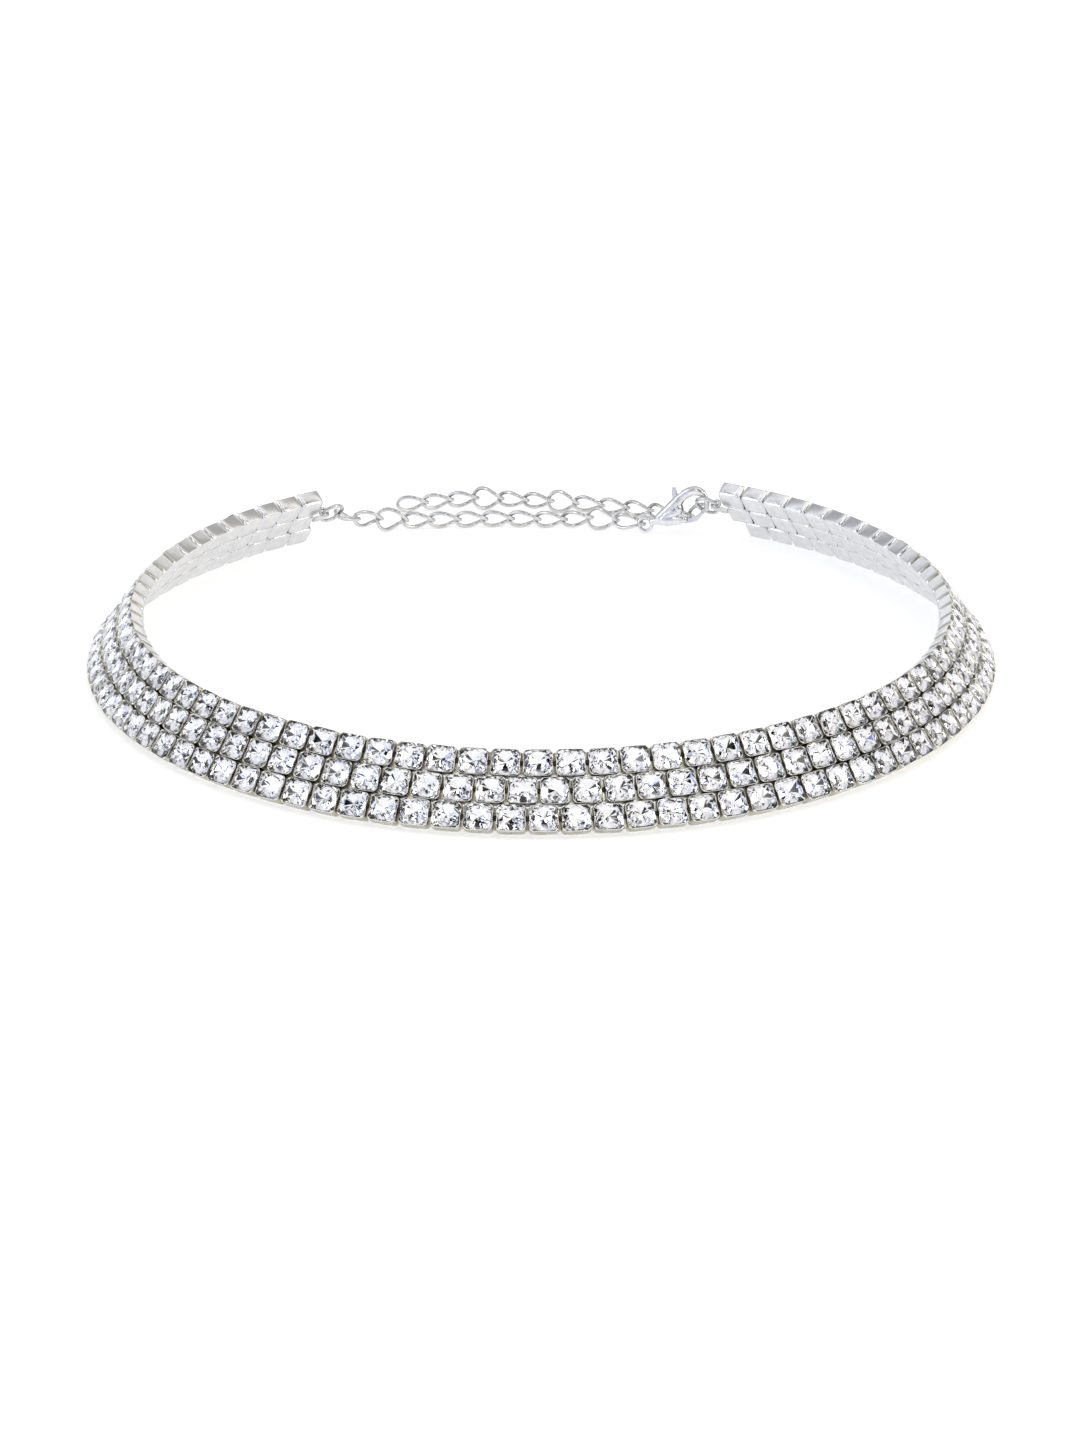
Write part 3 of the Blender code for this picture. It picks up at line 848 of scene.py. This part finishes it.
def make_strand(prefix, line, big, middle, normals, metal):
    """Links along a line. The normals are of the rings at its ends, or None where an end is free."""
    length = sum((second - first).length for first, second in zip(line, line[1:]))
    count = round(length / LINK_PITCH)
    joints = evenly(line, count)
    matrices = [link_matrix(first, second) for first, second in zip(joints, joints[1:])]
    first = roll_of(matrices[0], normals[0])
    last = roll_of(matrices[-1], normals[1]) if normals[1] else None
    rolls = link_rolls(count, middle, first, last)
    for number, (matrix, (near, far)) in enumerate(zip(matrices, rolls), 1):
        span = (joints[number] - joints[number - 1]).length
        half_width = BIG_LINK_HALF_WIDTH if number in big else LINK_HALF_WIDTH
        points = [matrix @ point for point in link_points(span, half_width, near, far)]
        wire_piece(f"{prefix}_{number:02d}", points, metal, LINK_SIDES)


def make_ring(name, matrix, metal):
    """Jump ring of round wire."""
    points = [matrix @ Vector((RING_RADIUS * math.cos(turn), RING_RADIUS * math.sin(turn), 0.0))
              for turn in around(RING_STEPS)]
    wire_piece(name, points, metal, RING_SIDES)


def clasp_matrix(ring):
    """Place of the clasp, whose hook holds the right ring and whose eye lies near the surface."""
    held = ring @ Vector((RING_RADIUS * math.cos(HOOK_TURN), RING_RADIUS * math.sin(HOOK_TURN), 0.0))
    seat = Vector((*RING_SEAT, 0.0))
    lead = (held - Vector(CLASP_EYE)).normalized()
    facing = Vector(CLASP_FACING)
    facing = (facing - lead * facing.dot(lead)).normalized()
    along = Matrix.Rotation(-math.atan2(seat.y, seat.x), 3, facing) @ lead
    axes = Matrix((along, facing.cross(along), facing)).transposed()
    return placed(along, facing.cross(along), facing, held - axes @ seat)


def fine_table(table):
    """Points and radii on a smooth curve through a table's rows."""
    line = smooth_route([Vector(row) for row in table], 6)
    return [Vector((p.x, p.y, 0.0)) for p in line], [p.z for p in line]


def evaluated(source):
    """Mesh of an object with its modifiers."""
    bpy.context.view_layer.update()
    graph = bpy.context.evaluated_depsgraph_get()
    mesh = bmesh.new()
    mesh.from_mesh(source.evaluated_get(graph).to_mesh())
    return mesh


def make_clasp_body(matrix, metal):
    """Cast body, hook and eye, melted into one smooth form, with its lever's slot and pin."""
    parts = bmesh.new()
    squeeze = (Vector((0.0, 0.0, 1.0)), CLASP_SQUEEZE)
    for table in (CLASP_BODY, CLASP_HOOK, CLASP_WEB):
        points, radii = fine_table(table)
        sweep(parts, points, radii, False, CLASP_SIDES, squeeze)
        for end in (0, -1):
            bmesh.ops.create_uvsphere(parts, u_segments=20, v_segments=12,
                                      radius=radii[end] * CLASP_END_SHARE,
                                      matrix=Matrix.Translation(points[end]))
    eye = [Vector((EYE_RADIUS * math.cos(turn), EYE_RADIUS * math.sin(turn), 0.0))
           for turn in around(EYE_STEPS)]
    sweep(parts, eye, [EYE_WIRE] * len(eye), True, EYE_SIDES)
    source = mesh_object("clasp_parts", parts)
    remesh = source.modifiers.new("melt", "REMESH")
    remesh.mode = "VOXEL"
    remesh.voxel_size = MELT_VOXEL
    relax = source.modifiers.new("relax", "SMOOTH")
    relax.factor = RELAX_FACTOR
    relax.iterations = RELAX_STEPS
    slot_mesh = bmesh.new()
    low = Vector((PIVOT[0] - SLOT_REACH[0], PIVOT[1] - SLOT_REACH[2], -SLOT_WIDTH / 2))
    high = Vector((PIVOT[0] + SLOT_REACH[1], PIVOT[1] + SLOT_REACH[3], SLOT_WIDTH / 2))
    bmesh.ops.create_cube(slot_mesh, size=1.0)
    bmesh.ops.scale(slot_mesh, vec=high - low, verts=slot_mesh.verts)
    bmesh.ops.translate(slot_mesh, vec=(low + high) / 2, verts=slot_mesh.verts)
    slot = mesh_object("slot", slot_mesh)
    cut = source.modifiers.new("slot", "BOOLEAN")
    cut.operation = "DIFFERENCE"
    cut.object = slot
    cut.solver = "EXACT"
    mesh = evaluated(source)
    bpy.data.objects.remove(slot)
    bpy.data.objects.remove(source)
    bmesh.ops.create_cone(mesh, cap_ends=True, segments=CLASP_SIDES, radius1=PIN_RADIUS,
                          radius2=PIN_RADIUS, depth=PIN_LENGTH,
                          matrix=Matrix.Translation((*PIVOT, 0.0)))
    bmesh.ops.transform(mesh, matrix=matrix, verts=mesh.verts)
    piece = add_piece("clasp_casting", mesh, [metal], ["clasp_body"])
    smooth(piece, CLASP_SHARP)


def offset_side(table, sign):
    """Points beside a table's line, its half width away, to its left for 1 and its right for -1."""
    side = []
    for k, (u, v, half_width) in enumerate(table):
        before = Vector(table[max(k - 1, 0)][:2])
        after = Vector(table[min(k + 1, len(table) - 1)][:2])
        lead = (after - before).normalized()
        side.append(Vector((u, v)) + Vector((-lead.y, lead.x)) * half_width * sign)
    return side


def boss_points(start, stop, count):
    """Points around the pivot between two angles in degrees, from one to the other."""
    turns = [math.radians(start + (stop - start) * k / (count - 1)) for k in range(count)]
    return [Vector(PIVOT) + Vector((math.cos(t), math.sin(t))) * BOSS_RADIUS for t in turns]


def lever_outline():
    """Outline of the lever: the boss, the gate arm that closes the hook, and the thumb tab."""
    arm = smooth_route([Vector(row) for row in LEVER_ARM], 5)
    tab = smooth_route([Vector(row) for row in LEVER_TAB], 4)
    outline = boss_points(*BOSS_TURNS, LEVER_BOSS_POINTS)
    outline += offset_side(arm, -1)
    outline += reversed(offset_side(arm, 1))
    outline += boss_points(*BOSS_NOTCH, LEVER_NOTCH_POINTS)
    outline += offset_side(tab, -1)
    outline += reversed(offset_side(tab, 1))
    return outline


def make_lever(matrix, metal):
    """Lever with rounded edges, in the body's slot."""
    curve = bpy.data.curves.new("lever_outline", "CURVE")
    curve.dimensions = "2D"
    curve.fill_mode = "BOTH"
    curve.extrude = LEVER_THICKNESS / 2 - LEVER_EDGE
    curve.bevel_depth = LEVER_EDGE
    curve.bevel_resolution = 3
    curve.offset = -LEVER_EDGE
    hole = [Vector(PIVOT) + Vector((math.cos(turn), math.sin(turn))) * (PIN_RADIUS + PIN_CLEARANCE)
            for turn in around(LEVER_HOLE_POINTS)]
    for points in (lever_outline(), hole):
        spline = curve.splines.new("POLY")
        spline.points.add(len(points) - 1)
        spline.use_cyclic_u = True
        for k, point in enumerate(points):
            spline.points[k].co = (point.x, point.y, 0.0, 1.0)
    source = new_object("lever_outline", curve)
    mesh = evaluated(source)
    bpy.data.objects.remove(source)
    bmesh.ops.remove_doubles(mesh, verts=mesh.verts, dist=LEVER_MERGE)
    bmesh.ops.transform(mesh, matrix=matrix, verts=mesh.verts)
    piece = add_piece("lever_casting", mesh, [metal], ["clasp_lever"], body="lever")
    smooth(piece, LEVER_SHARP)


def make_end_eye(side, azimuth, away, metal):
    """Rounded tab soldered behind the end of the top and middle rows, with an eye for its ring."""
    mesh = bmesh.new()
    end = end_matrix(azimuth, away)
    across = -(CUP_HEIGHT + ROW_GAP / 2)
    back = -(PLATE_GAP + PLATE_THICKNESS)
    middle = Vector((PLATE_OVERHANG + EAR_LENGTH / 2, across, back + EAR_DEPTH / 2))
    eye = [end @ (middle + Vector((EYE_HALF_X * math.cos(turn), 0.0, EYE_HALF_Z * math.sin(turn))))
           for turn in around(EYE_STEPS)]
    sweep(mesh, eye, [EYE_ROD] * len(eye), True, EYE_SIDES)
    foot = Vector((PLATE_OVERHANG - PLATE_LENGTH, across, back + PLATE_THICKNESS / 2))
    neck = Vector((PLATE_OVERHANG + TAB_PAST_EDGE, across, back + PLATE_THICKNESS / 2))
    spans = len(TAB_WIDTHS) - 1
    points = [end @ foot.lerp(neck, k / spans) for k in range(spans + 1)]
    out = end.to_3x3().col[2]
    sweep(mesh, points, TAB_WIDTHS, False, TAB_SIDES, (out, TAB_SQUEEZE))
    bmesh.ops.recalc_face_normals(mesh, faces=mesh.faces)
    piece = add_piece("end_eye_" + side, mesh, [metal], ["end_plate_" + side])
    smooth(piece, TAB_SHARP)


def area_light(name, place, size, energy, colour):
    """Soft rectangular light that faces the necklace. Lengths in metres."""
    data = bpy.data.lights.new(name, "AREA")
    data.shape = "RECTANGLE"
    data.size, data.size_y = size
    data.energy = energy
    data.color = colour
    made = new_object(name, data)
    made.location = place
    made.rotation_mode = "QUATERNION"
    made.rotation_quaternion = (-Vector(place)).to_track_quat("-Z", "Y")


def make_floor():
    """Pale floor that glows a little, so that it stays almost white."""
    mesh = bmesh.new()
    bmesh.ops.create_grid(mesh, x_segments=1, y_segments=1, size=FLOOR_SIZE)
    made, tree, shader = new_material("floor_paper")
    grain = noise(tree, FLOOR_SCALE)
    tree.links.new(tint(tree, ramp(tree, grain.outputs["Fac"], 0.0, 1.0), *FLOOR_TINTS),
                   shader.inputs["Base Color"])
    shader.inputs["Roughness"].default_value = FLOOR_ROUGHNESS
    shader.inputs["Specular IOR Level"].default_value = FLOOR_SPECULAR
    shader.inputs["Emission Color"].default_value = (1.0, 1.0, 1.0, 1.0)
    shader.inputs["Emission Strength"].default_value = FLOOR_GLOW
    mesh_object("floor", mesh, [made])


def mix(tree, kind, factor, first, second=None):
    """Mix of two sources by a factor. Without a second source, its colour is set by the caller."""
    made = tree.nodes.new("ShaderNodeMix")
    made.data_type = kind
    tree.links.new(factor, made.inputs["Factor"])
    tree.links.new(first, made.inputs["A"])
    if second:
        tree.links.new(second, made.inputs["B"])
    return made


def make_world():
    """Studio around the necklace: black and white cards in front, which give the stones their contrast.

    Plain light takes their place below, near the horizon, straight above and behind. Light from the left
    is a little cooler than from the right, and a few cards at the front are blue."""
    world = bpy.data.worlds.new("studio")
    bpy.context.scene.world = world
    world.use_nodes = True
    tree = world.node_tree
    back = tree.nodes["Background"]
    place = tree.nodes.new("ShaderNodeTexCoord")
    split = tree.nodes.new("ShaderNodeSeparateXYZ")
    tree.links.new(place.outputs["Generated"], split.inputs["Vector"])
    x, y, z = (split.outputs[axis] for axis in "XYZ")
    cells = tree.nodes.new("ShaderNodeTexVoronoi")
    cells.inputs["Scale"].default_value = CELL_SCALE
    tree.links.new(place.outputs["Generated"], cells.inputs["Vector"])
    parts = tree.nodes.new("ShaderNodeSeparateColor")
    tree.links.new(cells.outputs["Color"], parts.inputs["Color"])

    cards = levels(tree, parts.outputs["Red"], CARDS)
    overhead = levels(tree, ramp(tree, y, 0.0, 1.0, -1.0, 1.0), OVERHEAD)
    room = mix(tree, "FLOAT", ramp(tree, y, 0.0, 1.0, *CARDS_FADE), cards, overhead)
    plain = levels(tree, ramp(tree, z, 0.0, 1.0, -1.0, 1.0), PLAIN)
    light = mix(tree, "FLOAT", plain, room.outputs["Result"], overhead)
    tree.links.new(light.outputs["Result"], back.inputs["Strength"])

    wash = tint(tree, ramp(tree, x, 0.0, 1.0, *WASH_REACH), *WASH_TINTS)
    share = tree.nodes.new("ShaderNodeMath")
    share.operation = "MULTIPLY"
    tree.links.new(levels(tree, parts.outputs["Green"], SPARKS), share.inputs[0])
    tree.links.new(ramp(tree, y, 1.0, 0.0, *SPARKS_FADE), share.inputs[1])
    flash = mix(tree, "RGBA", share.outputs["Value"], wash)
    flash.inputs["B"].default_value = (*SPARK_TINT, 1.0)
    colour = mix(tree, "RGBA", plain, flash.outputs["Result"], wash)
    tree.links.new(colour.outputs["Result"], back.inputs["Color"])


def make_camera():
    """Camera at the photograph's angle."""
    data = bpy.data.cameras.new("camera")
    data.lens = CAMERA_LENS
    data.sensor_width = CAMERA_SENSOR
    data.clip_start, data.clip_end = CAMERA_CLIP
    camera = new_object("camera", data)
    back = Vector((0.0, -math.cos(CAMERA_ELEVATION), math.sin(CAMERA_ELEVATION)))
    camera.location = (Vector(CAMERA_TARGET) + back * CAMERA_DISTANCE) * MM
    camera.rotation_mode = "QUATERNION"
    camera.rotation_quaternion = (-back).to_track_quat("-Z", "Y")
    bpy.context.scene.camera = camera
    bpy.context.scene.view_settings.view_transform = "Standard"


def main():
    """Dress the necklace and set the stage."""
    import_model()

    metals = {name: silver(name + "_silver", *looks) for name, looks in METALS.items()}
    cups = [metals[name] for name in CUP_METALS]
    stones = [crystal(), foil()]

    for name, course, first, last in ROWS:
        make_row(name, course, first, last, cups, stones)

    rings = {}
    for side, azimuth, away, turn in ENDS:
        rings[side] = ring_matrix(azimuth, away, math.radians(turn))
        make_ring("jump_ring_" + side, rings[side], metals["wire"])
        make_end_eye(side, azimuth, away, metals["wire"])
    clasp = clasp_matrix(rings["right"])
    make_clasp_body(clasp, metals["cast"])
    make_lever(clasp, metals["cast"])

    route = [Vector(point) for point in STRAND_ROUTE]
    start = hooked_place(rings["left"], RING_RADIUS, RING_WIRE, route[0])
    stop = hooked_place(clasp, EYE_RADIUS, EYE_WIRE, route[-1])
    normals = (rings["left"].to_3x3().col[2], clasp.to_3x3().col[2])
    line = smooth_route([start, *route, stop])
    make_strand("link", line, STRAND_BIG, STRAND_ROLL, normals, metals["wire"])

    route = [Vector(point) for point in TAIL_ROUTE]
    start = hooked_place(rings["right"], RING_RADIUS, RING_WIRE, route[0])
    normals = (rings["right"].to_3x3().col[2], None)
    line = smooth_route([start, *route])
    make_strand("tail_link", line, TAIL_BIG, TAIL_ROLL, normals, metals["wire"])

    make_floor()
    make_world()
    for row in LAMPS:
        area_light(*row)
    make_camera()


main()
